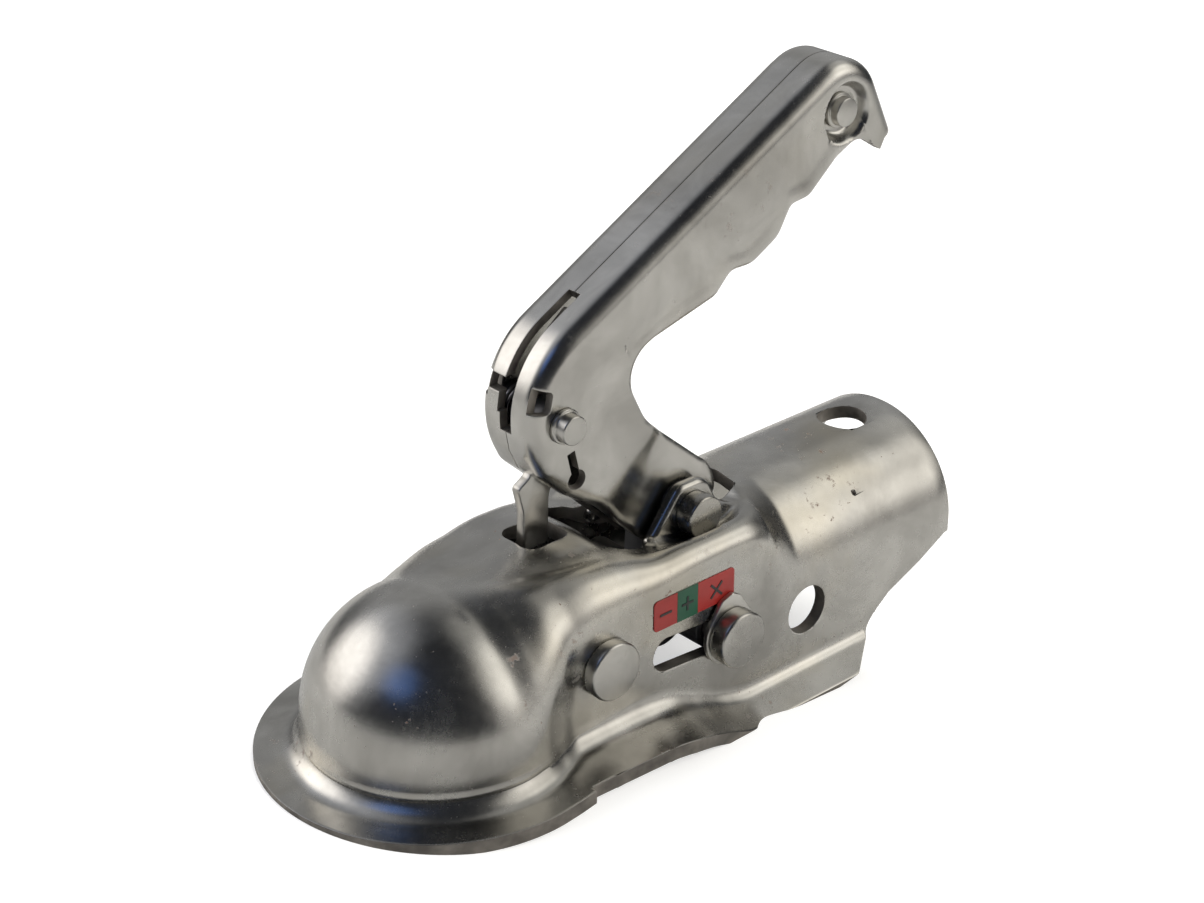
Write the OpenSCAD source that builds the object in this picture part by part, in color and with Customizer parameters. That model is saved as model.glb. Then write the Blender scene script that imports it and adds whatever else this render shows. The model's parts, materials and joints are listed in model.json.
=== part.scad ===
// Pressed steel trailer coupling head for a 50 mm ball and a 50 mm round drawbar tube.
// The origin is the ball centre. +X runs along the drawbar, away from the towing vehicle, and +Z is up.
// The handle is modelled raised, with the jaw open and the pointer at the end of its slot.

/* [Ball and tube] */
// Diameter of the towing ball
ball_d = 50; // [50:0.5:51]
// Diameter of the drawbar tube that the saddle takes
tube_d = 50; // [49:0.5:52]
// Thickness of the housing sheet
sheet = 4; // [3.5:0.5:4.5]

/* [Housing] */
// Outer radius of the pressed dome round the ball
dome_r = 36; // [35:0.5:38]
// Distance of the dome axis behind the ball centre
dome_x = 4; // [2:0.5:5]
// Height of the dome crown above the ball centre
dome_top = 30; // [29.5:0.5:32]
// Depth of the rim's underside below the ball centre
rim_drop = 18.5; // [17:0.5:20]
// Radius of the rim round the nose
rim_r = 48.5; // [46:0.5:52]
// Half width of the rim beside the walls
rim_half = 47; // [44:0.5:48]
// Bend radius between the walls and the rim
rim_bend = 6; // [4:0.5:7]
// Height of the shoulders where the catch slot is
shoulder_z = 31.5; // [30.5:0.5:33]
// Rise of the top plate's middle above its shoulders there
crown_rise = 2.8; // [2:0.2:4]
// Height of the shoulders beside the ears
ear_shoulder_z = 28.5; // [28:0.5:29]
// Bend radius of the shoulders beside the ears
shoulder_r = 6; // [5.5:0.5:8]
// Depth of the hollow between those shoulders
hollow = 5; // [4.5:0.5:5.5]
// Distance from the ball centre to the end of the saddle
saddle_end = 174; // [165:1:190]
// Distance from the ball centre to where the saddle is fully round
saddle_start = 112; // [110:0.5:113]
// Height of the crease above the rear skirt
skirt_z = -21.5; // [-23:0.5:-20]
// Half width of the rear skirt
skirt_half = 39.5; // [37:0.5:41]
// Downward slope of the rear skirt, in degrees
skirt_slope = 22; // [15:1:28]
// Rear end of the skirt
skirt_end = 117; // [112:1:120]
// Radius of the two bolt holes
bolt_hole_r = 7.25; // [6.5:0.25:7.5]
// Distance from the ball centre to the cross bolt
cross_bolt_x = 114; // [113.5:0.5:116]
// Height of the cross bolt
cross_bolt_z = -7; // [-9:0.5:-5]
// Distance from the ball centre to the top bolt
top_bolt_x = 157; // [150:1:160]
// Front end of the opening in the top plate
opening_start = 49.5; // [48.5:0.5:51]
// Rear end of the opening in the top plate
opening_end = 104; // [102:0.5:105]
// Half width of the opening in front of the ears
opening_half = 15.5; // [14:0.5:16.5]
// Front end of the slot for the catch
catch_slot_x = 31; // [30.5:0.25:31.5]
// Length of the slot for the catch
catch_slot_l = 15; // [14.5:0.5:15.5]
// Width of the slot for the catch
catch_slot_w = 15; // [13:0.5:16]

/* [Handle] */
// Distance from the ball centre to the handle's pivot
pivot_x = 82.8; // [82:0.2:84]
// Height of the handle's pivot above the ball centre
pivot_z = 29.9; // [29:0.1:31]
// Radius of the pivot bolt's shank
pivot_r = 5; // [4.5:0.25:5.5]
// Radius of the pivot bolt's head
pivot_head_r = 6.1; // [5.8:0.1:7]
// Height of the pivot bolt's head
pivot_head_h = 5.6; // [4:0.2:6]
// Distance between the inner faces of the ears
ear_gap = 19.6; // [19.4:0.2:20.4]
// Radius of the ears round the pivot
ear_r = 8.6; // [8:0.2:9.5]
// How far the handle stands above its closed place, in degrees
open_angle = 26; // [24:1:28]
// Width over both handle shells
handle_w = 22; // [21:0.5:24]
// Width over the handle's pivot boss
boss_w = 17.6; // [16.8:0.2:18]
// Radius of the handle's pivot boss
boss_r = 14; // [13:0.5:14.5]
// Thickness of the handle sheet
handle_sheet = 2.5; // [2:0.25:3]
// Distance from the pivot to the end of the grip
grip_end = 109.5; // [104:0.5:114]
// Height of the grip's back above the pivot
grip_back = 76; // [74:0.5:78]
// Height of the grip's underside above the pivot
grip_under = 51.5; // [50:0.5:53]
// Distance of the handle's front face ahead of the pivot
handle_front = 33.5; // [33:0.25:34.5]
// Radius of the two handle rivets
rivet_r = 4; // [3.5:0.25:4.25]
// Distance from the pivot to the top rivet, along the grip
top_rivet_u = 95.7; // [92:0.5:97]
// Height of the top rivet above the pivot
top_rivet_v = 63.4; // [62:0.2:65]
// Distance of the lower rivet ahead of the pivot
low_rivet_u = 21.8; // [21:0.2:22.6]
// Height of the lower rivet above the pivot
low_rivet_v = 54.3; // [53:0.2:55]
// How far the lower rivet's heads stand out
rivet_head_h = 4.5; // [3:0.25:5]
// Thickness of the catch plate
catch_t = 3; // [2.5:0.25:3.5]

/* [Jaw and pointer] */
// Distance from the ball centre to the jaw pin
jaw_pin_x = 38; // [37.5:0.25:39]
// Height of the jaw pin above the ball centre
jaw_pin_z = 6; // [5:0.5:7]
// Radius of the jaw pin
jaw_pin_r = 6; // [5.5:0.25:6.5]
// Radius of the jaw pin's head
jaw_head_r = 8.3; // [8:0.1:9]
// Height of the jaw pin's head
jaw_head_h = 4; // [3:0.25:5]
// Space between the jaw and each wall
jaw_space = 3; // [2.5:0.25:4]
// Swing of the jaw from closed to open, in degrees
jaw_swing = 24; // [20:1:26]
// Distance from the ball centre to the indicator pin when the jaw is open
slider_x = 81.5; // [81:0.25:82.5]
// Height of the indicator pin when the jaw is open
slider_z = -0.7; // [-1.5:0.1:0.5]
// Radius of the indicator pin
slider_r = 4.9; // [4.6:0.1:5.2]
// Radius of the indicator pin's head
slider_head_r = 8.2; // [7.8:0.1:9]
// Height of the indicator pin's head
slider_head_h = 5.4; // [4:0.2:6]
// Length of the indicator slot, end to end
slot_l = 33; // [31:0.5:34]
// Fall of the indicator slot towards the rear, in degrees
slot_tilt = 4; // [3:0.5:6]
// Length of the indicator label
label_l = 29.7; // [28:0.1:30.5]
// Height of the indicator label
label_h = 9.2; // [8.5:0.1:9.5]
// Thickness of the indicator label
label_t = 0.3; // [0.2:0.1:0.5]
// Wire radius of the closing spring
spring_wire = 0.75; // [0.6:0.05:0.8]

/* [Hidden] */
$fn = 64;
running = 0.05;
gap = 0.3;
eps = 0.5;
wall_half = tube_d / 2 + sheet;
inner_half = tube_d / 2;
jaw_w = tube_d - 2 * jaw_space;
ear_out = ear_gap / 2 + sheet;
rim_top = -rim_drop + sheet;
rim_kink = rim_top + rim_bend;
skirt_bend = 4;
pointer_t = 1.5;
pointer_y = wall_half + 1.5 * label_t + 0.1;
pointer_half = 7;
pointer_foot = 5.5;
pointer_tip = 12.4;
ring_t = 3;
bush_wall = 2;
joggle = 3;
bush_r = pivot_r + running + bush_wall;
slot_r = slider_r + 0.1;
// The crank's eye is longer than the pin is thick, because the pin runs straight and the eye turns
crank_r = norm([pivot_x - slider_x, pivot_z - slider_z]);
crank_angle = atan2(pivot_x - slider_x, pivot_z - slider_z);
crank_half = 5;
eye_play = 0.9;
eye_travel = 6.6;
crank_lobe = slider_r + 4;
// The push frame, measured from the indicator pin
frame_in = crank_half + 1;
frame_out = frame_in + 5;
nose_front = 14.9;
nose_t = 3.7;
nose_h = 7;
frame_drop = 8.5;
frame_h = 10;
pad_x = slider_r + 3;
pad_t = 2.5;
pad_half = 6;
seat_x = 103.5;
seat_t = 2.5;
seat_drop = 9;
seat_h = 15;
spring_r = 6;
spring_y = frame_in + spring_r + spring_wire;
stub_r = spring_r - spring_wire - 0.5;
stub_l = 3;
label_x = slider_x - 27;
label_z = slider_z + 10.1;
label_corner = 1.4;
sign_w = 0.7;
sign_l = 4.2;
// Points in the arcs of a section
n_crown = 4;
n_shoulder = 6;
n_bend = 4;

// One half section of the pressed sheet, from the crown to the lip's edge, moved inwards by o.
// s holds x, half width, shoulder height, shoulder radius, crown rise, kink height, bend radius,
// lip slope and lip half width.
function half_skin(s, o) = let (w = s[1], z = s[2], r = s[3], c = s[4], k = s[5], b = s[6], a = s[7], e = s[8],
        turn = 90 - a, end_y = w + b - (b + o) * cos(turn), end_z = k - (b + o) * sin(turn))
    concat(
        [for (i = [0:n_crown]) [(w - r) * i / n_crown, z - o + c * (1 - pow(i / n_crown, c < 0 ? 4 : 2))]],
        [for (i = [1:n_shoulder]) let (t = 90 * (1 - i / n_shoulder))
            [w - r + (r - o) * cos(t), z - r + (r - o) * sin(t)]],
        [for (i = [0:n_bend]) let (t = 180 + turn * i / n_bend)
            [w + b + (b + o) * cos(t), k + (b + o) * sin(t)]],
        [[e, end_z - (e - end_y) * tan(a)]]);

function mirrored(p) = [for (i = [len(p) - 1:-1:1]) [-p[i][0], p[i][1]]];
function reversed(p) = [for (i = [len(p) - 1:-1:0]) p[i]];
function ring(s) = let (o = half_skin(s, 0), i = half_skin(s, sheet))
    concat(mirrored(o), o, reversed(concat(mirrored(i), i)));

// A solid through a row of sections that all have as many points
module loft(sections) {
    m = len(ring(sections[0]));
    n = len(sections);
    points = [for (s = sections) for (p = ring(s)) [s[0], p[0], p[1]]];
    sides = [for (j = [0:n - 2]) for (i = [0:m - 1]) for (h = [0, 1]) let (k = (i + 1) % m)
        h == 0 ? [j * m + i, j * m + k, (j + 1) * m + i] : [j * m + k, (j + 1) * m + k, (j + 1) * m + i]];
    e = (n - 1) * m;
    caps = [for (i = [0:m / 2 - 2]) each [[i, m - 2 - i, i + 1], [i, m - 1 - i, m - 2 - i],
        [e + m - 2 - i, e + i, e + i + 1], [e + m - 1 - i, e + i, e + m - 2 - i]]];
    polyhedron(points, concat(sides, caps));
}

// Corners p, each [x, y, radius], as an outline with its corners rounded
function unit(v) = v / norm(v);
function corner(a, b, c) = let (u = unit([a[0] - b[0], a[1] - b[1]]), v = unit([c[0] - b[0], c[1] - b[1]]),
        half = acos(max(-1, min(1, u * v))) / 2, d = b[2] / tan(half), m = unit(u + v),
        o = [b[0], b[1]] + m * (b[2] / sin(half)), p = [b[0], b[1]] + u * d - o, sweep = 180 - 2 * half,
        side = sign(u[0] * v[1] - u[1] * v[0]), n = max(1, ceil(sweep / 14)))
    [for (i = [0:n]) let (t = -side * sweep * i / n)
        o + [p[0] * cos(t) - p[1] * sin(t), p[0] * sin(t) + p[1] * cos(t)]];
function rounded(p) = let (n = len(p))
    [for (i = [0:n - 1])
        each (p[i][2] == 0 ? [[p[i][0], p[i][1]]] : corner(p[(i + n - 1) % n], p[i], p[(i + 1) % n]))];

// A side-view shape, drawn in X and Z, as a plate from y0 to y1
module plate(y0, y1) {
    translate([0, y1, 0]) rotate([90, 0, 0]) linear_extrude(y1 - y0) children();
}

// A round bar along Y at x, z
module cross_bar(x, z, r, y0, y1) {
    translate([x, y1, z]) rotate([90, 0, 0]) cylinder(r = r, h = y1 - y0);
}

// A coil of wire along +Z with its wire's centre line from 0 to h
module coil(r, wire, turns, h) {
    steps = 16 * turns;
    m = 8;
    points = [for (j = [0:steps]) let (t = 360 * turns * j / steps)
        for (i = [0:m - 1]) let (q = r + wire * cos(360 * i / m))
            [q * cos(t), q * sin(t), h * j / steps + wire * sin(360 * i / m)]];
    sides = [for (j = [0:steps - 1]) for (i = [0:m - 1]) for (k = [0, 1]) let (i2 = (i + 1) % m)
        k == 0 ? [j * m + i, j * m + i2, (j + 1) * m + i] : [j * m + i2, (j + 1) * m + i2, (j + 1) * m + i]];
    polyhedron(points, concat(sides, [[for (i = [m - 1:-1:0]) i]], [[for (i = [0:m - 1]) steps * m + i]]));
}

// Moves a shape from the closed handle's own axes, with its pivot at the origin, to its raised place
module raised() {
    translate([pivot_x, 0, pivot_z]) rotate([0, -open_angle, 0]) children();
}

nose_section = [dome_x, dome_r, dome_top, dome_r - 1, 0, rim_kink, rim_bend, 0, rim_r];
sections = [
    nose_section,
    [dome_x + 8, dome_r - 1.2, dome_top + 0.8, 30, 0.2, rim_kink, rim_bend, 0, rim_r - 0.6],
    [dome_x + 16, dome_r - 4.2, shoulder_z - 0.3, 21, 1, rim_kink, rim_bend, 0, rim_half],
    [dome_x + 24, wall_half, shoulder_z, 15, 2.2, rim_kink, rim_bend, 0, rim_half],
    [35, wall_half, shoulder_z, 12.5, crown_rise, rim_kink, rim_bend, 0, rim_half],
    [45, wall_half, shoulder_z - 0.6, 11, crown_rise - 0.8, rim_kink, rim_bend, 0, rim_half],
    [60, wall_half, ear_shoulder_z + 0.4, shoulder_r + 2.5, -hollow * 0.3, rim_kink, rim_bend, 0, rim_half],
    [70, wall_half, ear_shoulder_z, shoulder_r + 0.5, -hollow * 0.9, rim_kink * 0.55 + skirt_z * 0.45,
        rim_bend - 1, 9, skirt_half + 4],
    [81, wall_half, ear_shoulder_z, shoulder_r, -hollow, rim_kink * 0.12 + skirt_z * 0.88,
        skirt_bend, 18, skirt_half + 2],
    [91, wall_half, ear_shoulder_z, shoulder_r + 0.5, -hollow, skirt_z,
        skirt_bend, skirt_slope, skirt_half + 0.5],
    [98, wall_half, ear_shoulder_z + 0.2, shoulder_r + 8, -1, skirt_z, skirt_bend, skirt_slope, skirt_half],
    [105, wall_half, wall_half, 23, 0.1, skirt_z, skirt_bend, skirt_slope, skirt_half],
    [saddle_start, wall_half, wall_half, wall_half - 0.5, 0, skirt_z, skirt_bend, skirt_slope, skirt_half]];

// The nose: half a revolution of the first section
module nose() {
    o = half_skin(nose_section, 0);
    i = half_skin(nose_section, sheet);
    translate([dome_x, 0, 0]) rotate([0, 0, 90]) rotate_extrude(angle = 180) polygon(concat(o, reversed(i)));
}

// The saddle: half a pipe with straight walls and a sloping skirt under it
module saddle() {
    last = sections[len(sections) - 1];
    o = half_skin(last, 0);
    i = half_skin(last, sheet);
    first = n_crown + n_shoulder;
    lip_o = [for (k = [first:len(o) - 1]) o[k]];
    lip_i = [for (k = [len(i) - 1:-1:first]) i[k]];
    l = saddle_end - saddle_start + eps;
    translate([saddle_start - eps, 0, 0]) {
        difference() {
            rotate([0, 90, 0]) cylinder(r = wall_half, h = l);
            translate([-1, -wall_half - 1, -wall_half - 1]) cube([l + 2, 2 * wall_half + 2, wall_half + 1]);
        }
        for (m = [0, 1]) mirror([0, m, 0]) rotate([90, 0, 90]) linear_extrude(l) polygon(concat(lip_o, lip_i));
    }
}

// Side view of what is cut away under the saddle's slanted rear edge
module rear_cut() {
    plate(-60, 60) polygon([[saddle_end + 5, -3], [saddle_end - 1.5, -4], [saddle_end - 12, -9.6],
        [saddle_end - 25, -15], [saddle_end - 31, -19.5], [saddle_end - 36, -25], [skirt_end, -31],
        [skirt_end, -60], [saddle_end + 5, -60]]);
}

// Top view of the opening that the handle works in
module opening_outline() {
    e = ear_gap / 2;
    polygon(rounded([[opening_start, -opening_half, 8], [opening_start + 13, -opening_half, 6],
        [opening_start + 23, -e, 8], [opening_end, -e, 3], [opening_end + 2, 0, 8], [opening_end, e, 3],
        [opening_start + 23, e, 8],
        [opening_start + 13, opening_half, 6], [opening_start, opening_half, 8],
        [opening_start + 2, 0, 20]]));
}

// Top view of the slot that the catch drops into
module catch_slot_outline() {
    x0 = catch_slot_x;
    x1 = catch_slot_x + catch_slot_l;
    w = catch_slot_w / 2;
    polygon(rounded([[x0, -w, 4], [x0, w, 4], [x1, w - 2, 3], [x1, 2 - w, 3]]));
}

// Side view of one ear
module ear_outline() {
    base = ear_shoulder_z - hollow - sheet / 2;
    top = pivot_z + ear_r;
    polygon(rounded([[pivot_x - 16, base, 0], [pivot_x - 15.5, pivot_z - 5, 4], [pivot_x - 4.6, top, 5],
        [pivot_x + 5.5, top, 6], [pivot_x + 12, pivot_z - 4, 3], [pivot_x + 14, base, 0]]));
}

// A slot for the indicator pin, through one wall
module pin_slot(y0, y1) {
    l = slot_l - 2 * slot_r;
    translate([slider_x, 0, slider_z]) rotate([0, slot_tilt, 0]) {
        cross_bar(1.2, 0, slot_r, y0, y1);
        cross_bar(1.2 - l, 0, slot_r, y0, y1);
        translate([1.2 - l, y0, -slot_r]) cube([l, y1 - y0, 2 * slot_r]);
    }
}

module housing() {
    color("silver") difference() {
        union() {
            nose();
            loft(sections);
            saddle();
            for (s = [0, 1]) mirror([0, s, 0]) plate(ear_gap / 2, ear_out) ear_outline();
        }
        rear_cut();
        translate([seat_x - 2, 0, 0]) rotate([0, 90, 0]) cylinder(r = inner_half, h = 100);
        translate([0, 0, 15]) linear_extrude(60) opening_outline_cut();
        translate([0, 0, 20]) linear_extrude(30) catch_slot_outline();
        cross_bar(jaw_pin_x, jaw_pin_z, jaw_pin_r, -60, 60);
        pin_slot(-60, 60);
        cross_bar(pivot_x, pivot_z, pivot_r + running, -60, 60);
        for (s = [0, 1]) mirror([0, s, 0])
            cross_bar(pivot_x, pivot_z, pivot_head_r + 0.9, ear_out, ear_out + pivot_head_h + gap);
        cross_bar(cross_bolt_x, cross_bolt_z, bolt_hole_r, -60, 60);
        translate([top_bolt_x, 0, 0]) cylinder(r = bolt_hole_r, h = 60);
        for (s = [0, 1]) mirror([0, s, 0]) translate([0, 0, -40]) linear_extrude(32)
            polygon([[18.5, rim_half - 2], [58, rim_half - 0.2], [58, 80], [18.5, 80]]);
    }
}

// The opening, cut so that the ears between its sides stay
module opening_outline_cut() {
    difference() {
        opening_outline();
        for (s = [-1, 1]) translate([pivot_x - 20, s > 0 ? ear_gap / 2 : -ear_out]) square([37, sheet]);
    }
}

// The jaw as it stands round a ball, before it swings open
module closed_jaw() {
    x = jaw_pin_x;
    z = jaw_pin_z;
    difference() {
        union() {
            plate(-jaw_w / 2, jaw_w / 2) polygon(rounded([[17, -13.5, 0], [19.5, -16.5, 1],
                [x - 2, -15.5, 6], [x + 6, z - 17, 3], [x + 6.5, z - 6, 0], [x, z, 0], [x - 9, z + 2, 3],
                [24, 2, 2], [20, -8, 0]]));
            cross_bar(x, z, jaw_pin_r + 3, -jaw_w / 2, jaw_w / 2);
        }
        sphere(r = ball_d / 2 + gap);
        cross_bar(x, z, jaw_pin_r + running, -60, 60);
    }
}

module jaw() {
    color("gray") translate([jaw_pin_x, 0, jaw_pin_z]) rotate([0, -jaw_swing, 0])
        translate([-jaw_pin_x, 0, -jaw_pin_z]) closed_jaw();
}

module jaw_pin() {
    color("lightgray") {
        cross_bar(jaw_pin_x, jaw_pin_z, jaw_pin_r, -wall_half, wall_half + ring_t);
        cross_bar(jaw_pin_x, jaw_pin_z, jaw_head_r, -wall_half - jaw_head_h, -wall_half);
    }
}

// A ring with bore radius r0 and outer radius r1
module ring_at(x, z, r0, r1, y0, y1) {
    difference() {
        cross_bar(x, z, r1, y0, y1);
        cross_bar(x, z, r0, y0 - 1, y1 + 1);
    }
}

module jaw_pin_ring() {
    color("lightgray") ring_at(jaw_pin_x, jaw_pin_z, jaw_pin_r, jaw_head_r, wall_half, wall_half + ring_t);
}

module jaw_spacers() {
    color("darkgray") for (s = [-1, 1]) {
        y0 = s > 0 ? jaw_w / 2 + gap / 2 : -inner_half;
        ring_at(jaw_pin_x, jaw_pin_z, jaw_pin_r, jaw_pin_r + 2.5, y0, y0 + inner_half - jaw_w / 2 - gap / 2);
    }
}

module indicator_pin() {
    y = pointer_y + pointer_t;
    color("lightgray") {
        cross_bar(slider_x, slider_z, slider_r, -y, wall_half + gap / 2 + ring_t);
        cross_bar(slider_x, slider_z, slider_head_r, -y - slider_head_h, -y);
    }
}

// The thin washer behind the pin's head, drawn out upwards to a tip
module pointer() {
    x = slider_x;
    foot = slider_z + pointer_foot;
    tip = slider_z + pointer_tip;
    color("silver") difference() {
        union() {
            cross_bar(x, slider_z, slider_head_r + 0.8, -pointer_y - pointer_t, -pointer_y);
            plate(-pointer_y - pointer_t, -pointer_y) polygon(rounded([[x - pointer_half, foot, 0],
                [x - pointer_half / 2, tip - 1.4, 2], [x + 0.8, tip, 1.2], [x + pointer_half / 2, tip - 1.4, 2],
                [x + pointer_half, foot, 0]]));
        }
        cross_bar(slider_x, slider_z, slider_r, -60, 60);
    }
}

module indicator_pin_ring() {
    y = wall_half + gap / 2;
    color("lightgray") ring_at(slider_x, slider_z, slider_r, slider_head_r, y, y + ring_t);
}

module pin_sleeves() {
    color("darkgray") for (s = [-1, 1]) {
        y0 = s > 0 ? frame_out : gap - inner_half;
        ring_at(slider_x, slider_z, slider_r, slider_r + 2, y0, y0 + inner_half - gap - frame_out);
    }
}

// The frame that the indicator pin carries: its nose presses the jaw shut, and the springs bear on its pads
module push_frame() {
    x = slider_x;
    z = slider_z;
    color("dimgray") difference() {
        union() {
            translate([x - nose_front, -frame_out, z - frame_drop]) cube([nose_t, 2 * frame_out, nose_h]);
            for (s = [0, 1]) mirror([0, s, 0]) {
                translate([x - nose_front, frame_in, z - frame_drop])
                    cube([nose_front + pad_x, frame_out - frame_in, frame_h]);
                cross_bar(x, z, slider_r + 3, frame_in, frame_out);
                translate([x + pad_x, frame_in, z - pad_half])
                    cube([pad_t, spring_y + pad_half - frame_in, 2 * pad_half]);
                translate([x + pad_x + pad_t - eps, spring_y, z]) rotate([0, 90, 0])
                    cylinder(r = stub_r, h = stub_l + eps);
            }
        }
        cross_bar(x, z, slider_r, -60, 60);
    }
}

module closing_springs() {
    start = slider_x + pad_x + pad_t + spring_wire + 0.1;
    color("gray") for (s = [-1, 1]) translate([start, s * spring_y, slider_z]) rotate([0, 90, 0])
        coil(spring_r, spring_wire, 5, seat_x - start - spring_wire - 0.1);
}

// The cross plate that the springs stand on, held between the walls
module spring_seat() {
    color("gray") {
        translate([seat_x, -inner_half, slider_z - seat_drop]) cube([seat_t, 2 * inner_half, seat_h]);
        for (s = [-1, 1]) translate([seat_x - stub_l, s * spring_y, slider_z]) rotate([0, 90, 0])
            cylinder(r = stub_r, h = stub_l + eps);
    }
}

// Side view of the handle in its own axes: grip to the right, pivot at the origin
module handle_outline() {
    u = grip_under;
    polygon(rounded([[-handle_front, 44, 5], [-handle_front, grip_back - 2.5, 27],
        [grip_end - 17.5, grip_back + 2.3, 8], [grip_end, grip_back + 2, 15], [grip_end, u - 6, 3],
        [102.5, u - 6.5, 2.5], [97, u + 2.2, 6], [88, u + 2.4, 6], [75, u - 0.8, 5], [68.5, u + 1.6, 3],
        [61, u - 3.4, 7], [50, u - 3.8, 8], [43, u - 0.2, 4], [35.5, u - 2.8, 4], [13, u + 2, 5],
        [0.6, u + 2.4, 10], [0.6, 34, 16],
        [boss_r * cos(30), boss_r * sin(30), 0], [boss_r * cos(50), -boss_r * sin(50), 0],
        [-boss_r * cos(30), -boss_r * sin(30), 0], [-18.5, 9.5, 3], [-23, 22.5, 8], [-29.5, 33.5, 12]]));
    circle(r = boss_r);
}

// Line below which the handle narrows to its boss, as a half plane
module boss_side(shift) {
    polygon([[-50, 13 + shift], [-17.5, 18 + shift], [2, 28 + shift], [40, 48 + shift], [40, -40],
        [-50, -40]]);
}

// The slot, notches, keyhole and rivet seats of one shell; the near shell has side = -1
module handle_cuts(side) {
    h = handle_w / 2;
    cross_bar(top_rivet_u, top_rivet_v, rivet_r, -20, 20);
    cross_bar(-low_rivet_u, low_rivet_v, rivet_r, -20, 20);
    cross_bar(0, 0, bush_r, -20, 20);
    // Round dish pressed in round the top rivet
    translate([top_rivet_u, side * (h + 0.01), top_rivet_v]) rotate([side * 90, 0, 0])
        cylinder(r1 = 9.5, r2 = 7, h = 3.5);
    // Keyhole
    cross_bar(-25.4, 37, 2.9, side > 0 ? 0 : -20, side > 0 ? 20 : 0);
    plate(side > 0 ? 4 : -20, side > 0 ? 20 : -4)
        polygon([[-26.8, 38], [-24.8, 46], [-22.2, 45.4], [-24, 38]]);
    // Slot along the seam where the catch's thumb edge shows, and the notches at its lower end
    plate(-2.2, 2.2) polygon([[4, 90], [3, 66], [-14, 60], [-26, 54], [-45, 62], [-20, 90]]);
    plate(side > 0 ? 0 : -2.2, side > 0 ? 7.5 : 2.2)
        polygon([[-40, 66], [-24, 57], [-21.5, 61.5], [-35, 72]]);
    plate(side > 0 ? h - 3.6 : -h - 1, side > 0 ? h + 1 : 3.6 - h)
        polygon([[-42, 70], [-24, 58], [-19.5, 64.5], [-30, 80]]);
}

// One half of the handle: a side wall, a rim that meets the other half at the seam, and the narrow boss
module handle_shell(side) {
    h = handle_w / 2;
    b = boss_w / 2;
    t = handle_sheet;
    raised() difference() {
        union() {
            plate(side > 0 ? h - t : -h, side > 0 ? h : t - h) difference() {
                handle_outline();
                boss_side(0);
            }
            plate(side > 0 ? b - t : -b, side > 0 ? b : t - b) intersection() {
                handle_outline();
                boss_side(joggle);
            }
            plate(side > 0 ? b - t : -h, side > 0 ? h : t - b) intersection() {
                handle_outline();
                difference() {
                    boss_side(joggle);
                    boss_side(0);
                }
            }
            plate(side > 0 ? 0 : -h, side > 0 ? h : 0) intersection() {
                difference() {
                    handle_outline();
                    offset(delta = -t) handle_outline();
                }
                polygon([[-60, 45], [-28, 45], [-20, 56], [14, 66], [92, 66], [101, 48], [101, 30],
                    [140, 30], [140, 100], [-60, 100]]);
            }
            cross_bar(top_rivet_u, top_rivet_v, 10.5, side > 0 ? h - 6 : 1 - h, side > 0 ? h - 1 : 6 - h);
        }
        handle_cuts(side);
    }
}

module handle_near_shell() {
    color("silver") handle_shell(-1);
}

module handle_far_shell() {
    color("silver") handle_shell(1);
}

module top_rivet() {
    y = handle_w / 2 - 3.5;
    color("lightgray") raised() {
        cross_bar(top_rivet_u, top_rivet_v, rivet_r, -y - 3.4, y + 3.4);
        for (s = [0, 1]) mirror([0, s, 0]) cross_bar(top_rivet_u, top_rivet_v, rivet_r + 1, y, y + 0.9);
    }
}

module grip_spacer() {
    y = handle_w / 2 - 6;
    color("darkgray") raised() ring_at(top_rivet_u, top_rivet_v, rivet_r, rivet_r + 2, -y, y);
}

module lower_rivet() {
    y = handle_w / 2;
    color("lightgray") raised() {
        cross_bar(-low_rivet_u, low_rivet_v, rivet_r, -y - rivet_head_h, y + rivet_head_h);
        for (s = [0, 1]) mirror([0, s, 0]) cross_bar(-low_rivet_u, low_rivet_v, rivet_r + 0.8, y, y + 1.2);
    }
}

// The catch: a flat plate that turns on the lower rivet, with a tongue below and a thumb edge in the seam slot
module catch() {
    color("silver") raised() difference() {
        plate(-catch_t / 2, catch_t / 2) polygon(rounded([[-44.2, 22.6, 1], [-36.5, 18.5, 1],
            [-30, 31, 6], [-16, 42, 6], [-13, 56, 6], [0, 67, 3], [0, 72.8, 1], [-11, 70.6, 6],
            [-25, 61.5, 8], [-29.5, 53, 5], [-29.8, 42, 2],
            [-33, 40, 2], [-37.3, 39.6, 1.5], [-39, 32, 6]]));
        cross_bar(-low_rivet_u, low_rivet_v, rivet_r + running, -20, 20);
    }
}

module catch_spacers() {
    y0 = catch_t / 2 + 0.1;
    y1 = handle_w / 2 - handle_sheet;
    color("darkgray") raised() for (s = [0, 1]) mirror([0, s, 0])
        ring_at(-low_rivet_u, low_rivet_v, rivet_r, rivet_r + 1, y0, y1);
}

module catch_spring() {
    wire = 0.5;
    l = handle_w / 2 - handle_sheet - catch_t / 2 - 2 * wire - 0.6;
    color("gray") raised() translate([-low_rivet_u, catch_t / 2 + wire + 0.4, low_rivet_v]) rotate([-90, 0, 0])
        coil(rivet_r + 1 + wire + 0.1, wire, 3.5, l);
}

module pivot_bolt() {
    color("lightgray") {
        cross_bar(pivot_x, pivot_z, pivot_r, -ear_out, ear_out + ring_t);
        cross_bar(pivot_x, pivot_z, pivot_head_r, -ear_out - pivot_head_h, -ear_out);
    }
}

module pivot_ring() {
    color("lightgray") ring_at(pivot_x, pivot_z, pivot_r, pivot_head_r + 0.4, ear_out, ear_out + ring_t);
}

module pivot_bush() {
    y = ear_gap / 2 - gap;
    color("darkgray") ring_at(pivot_x, pivot_z, pivot_r + running, bush_r, -y, y);
}

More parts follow.
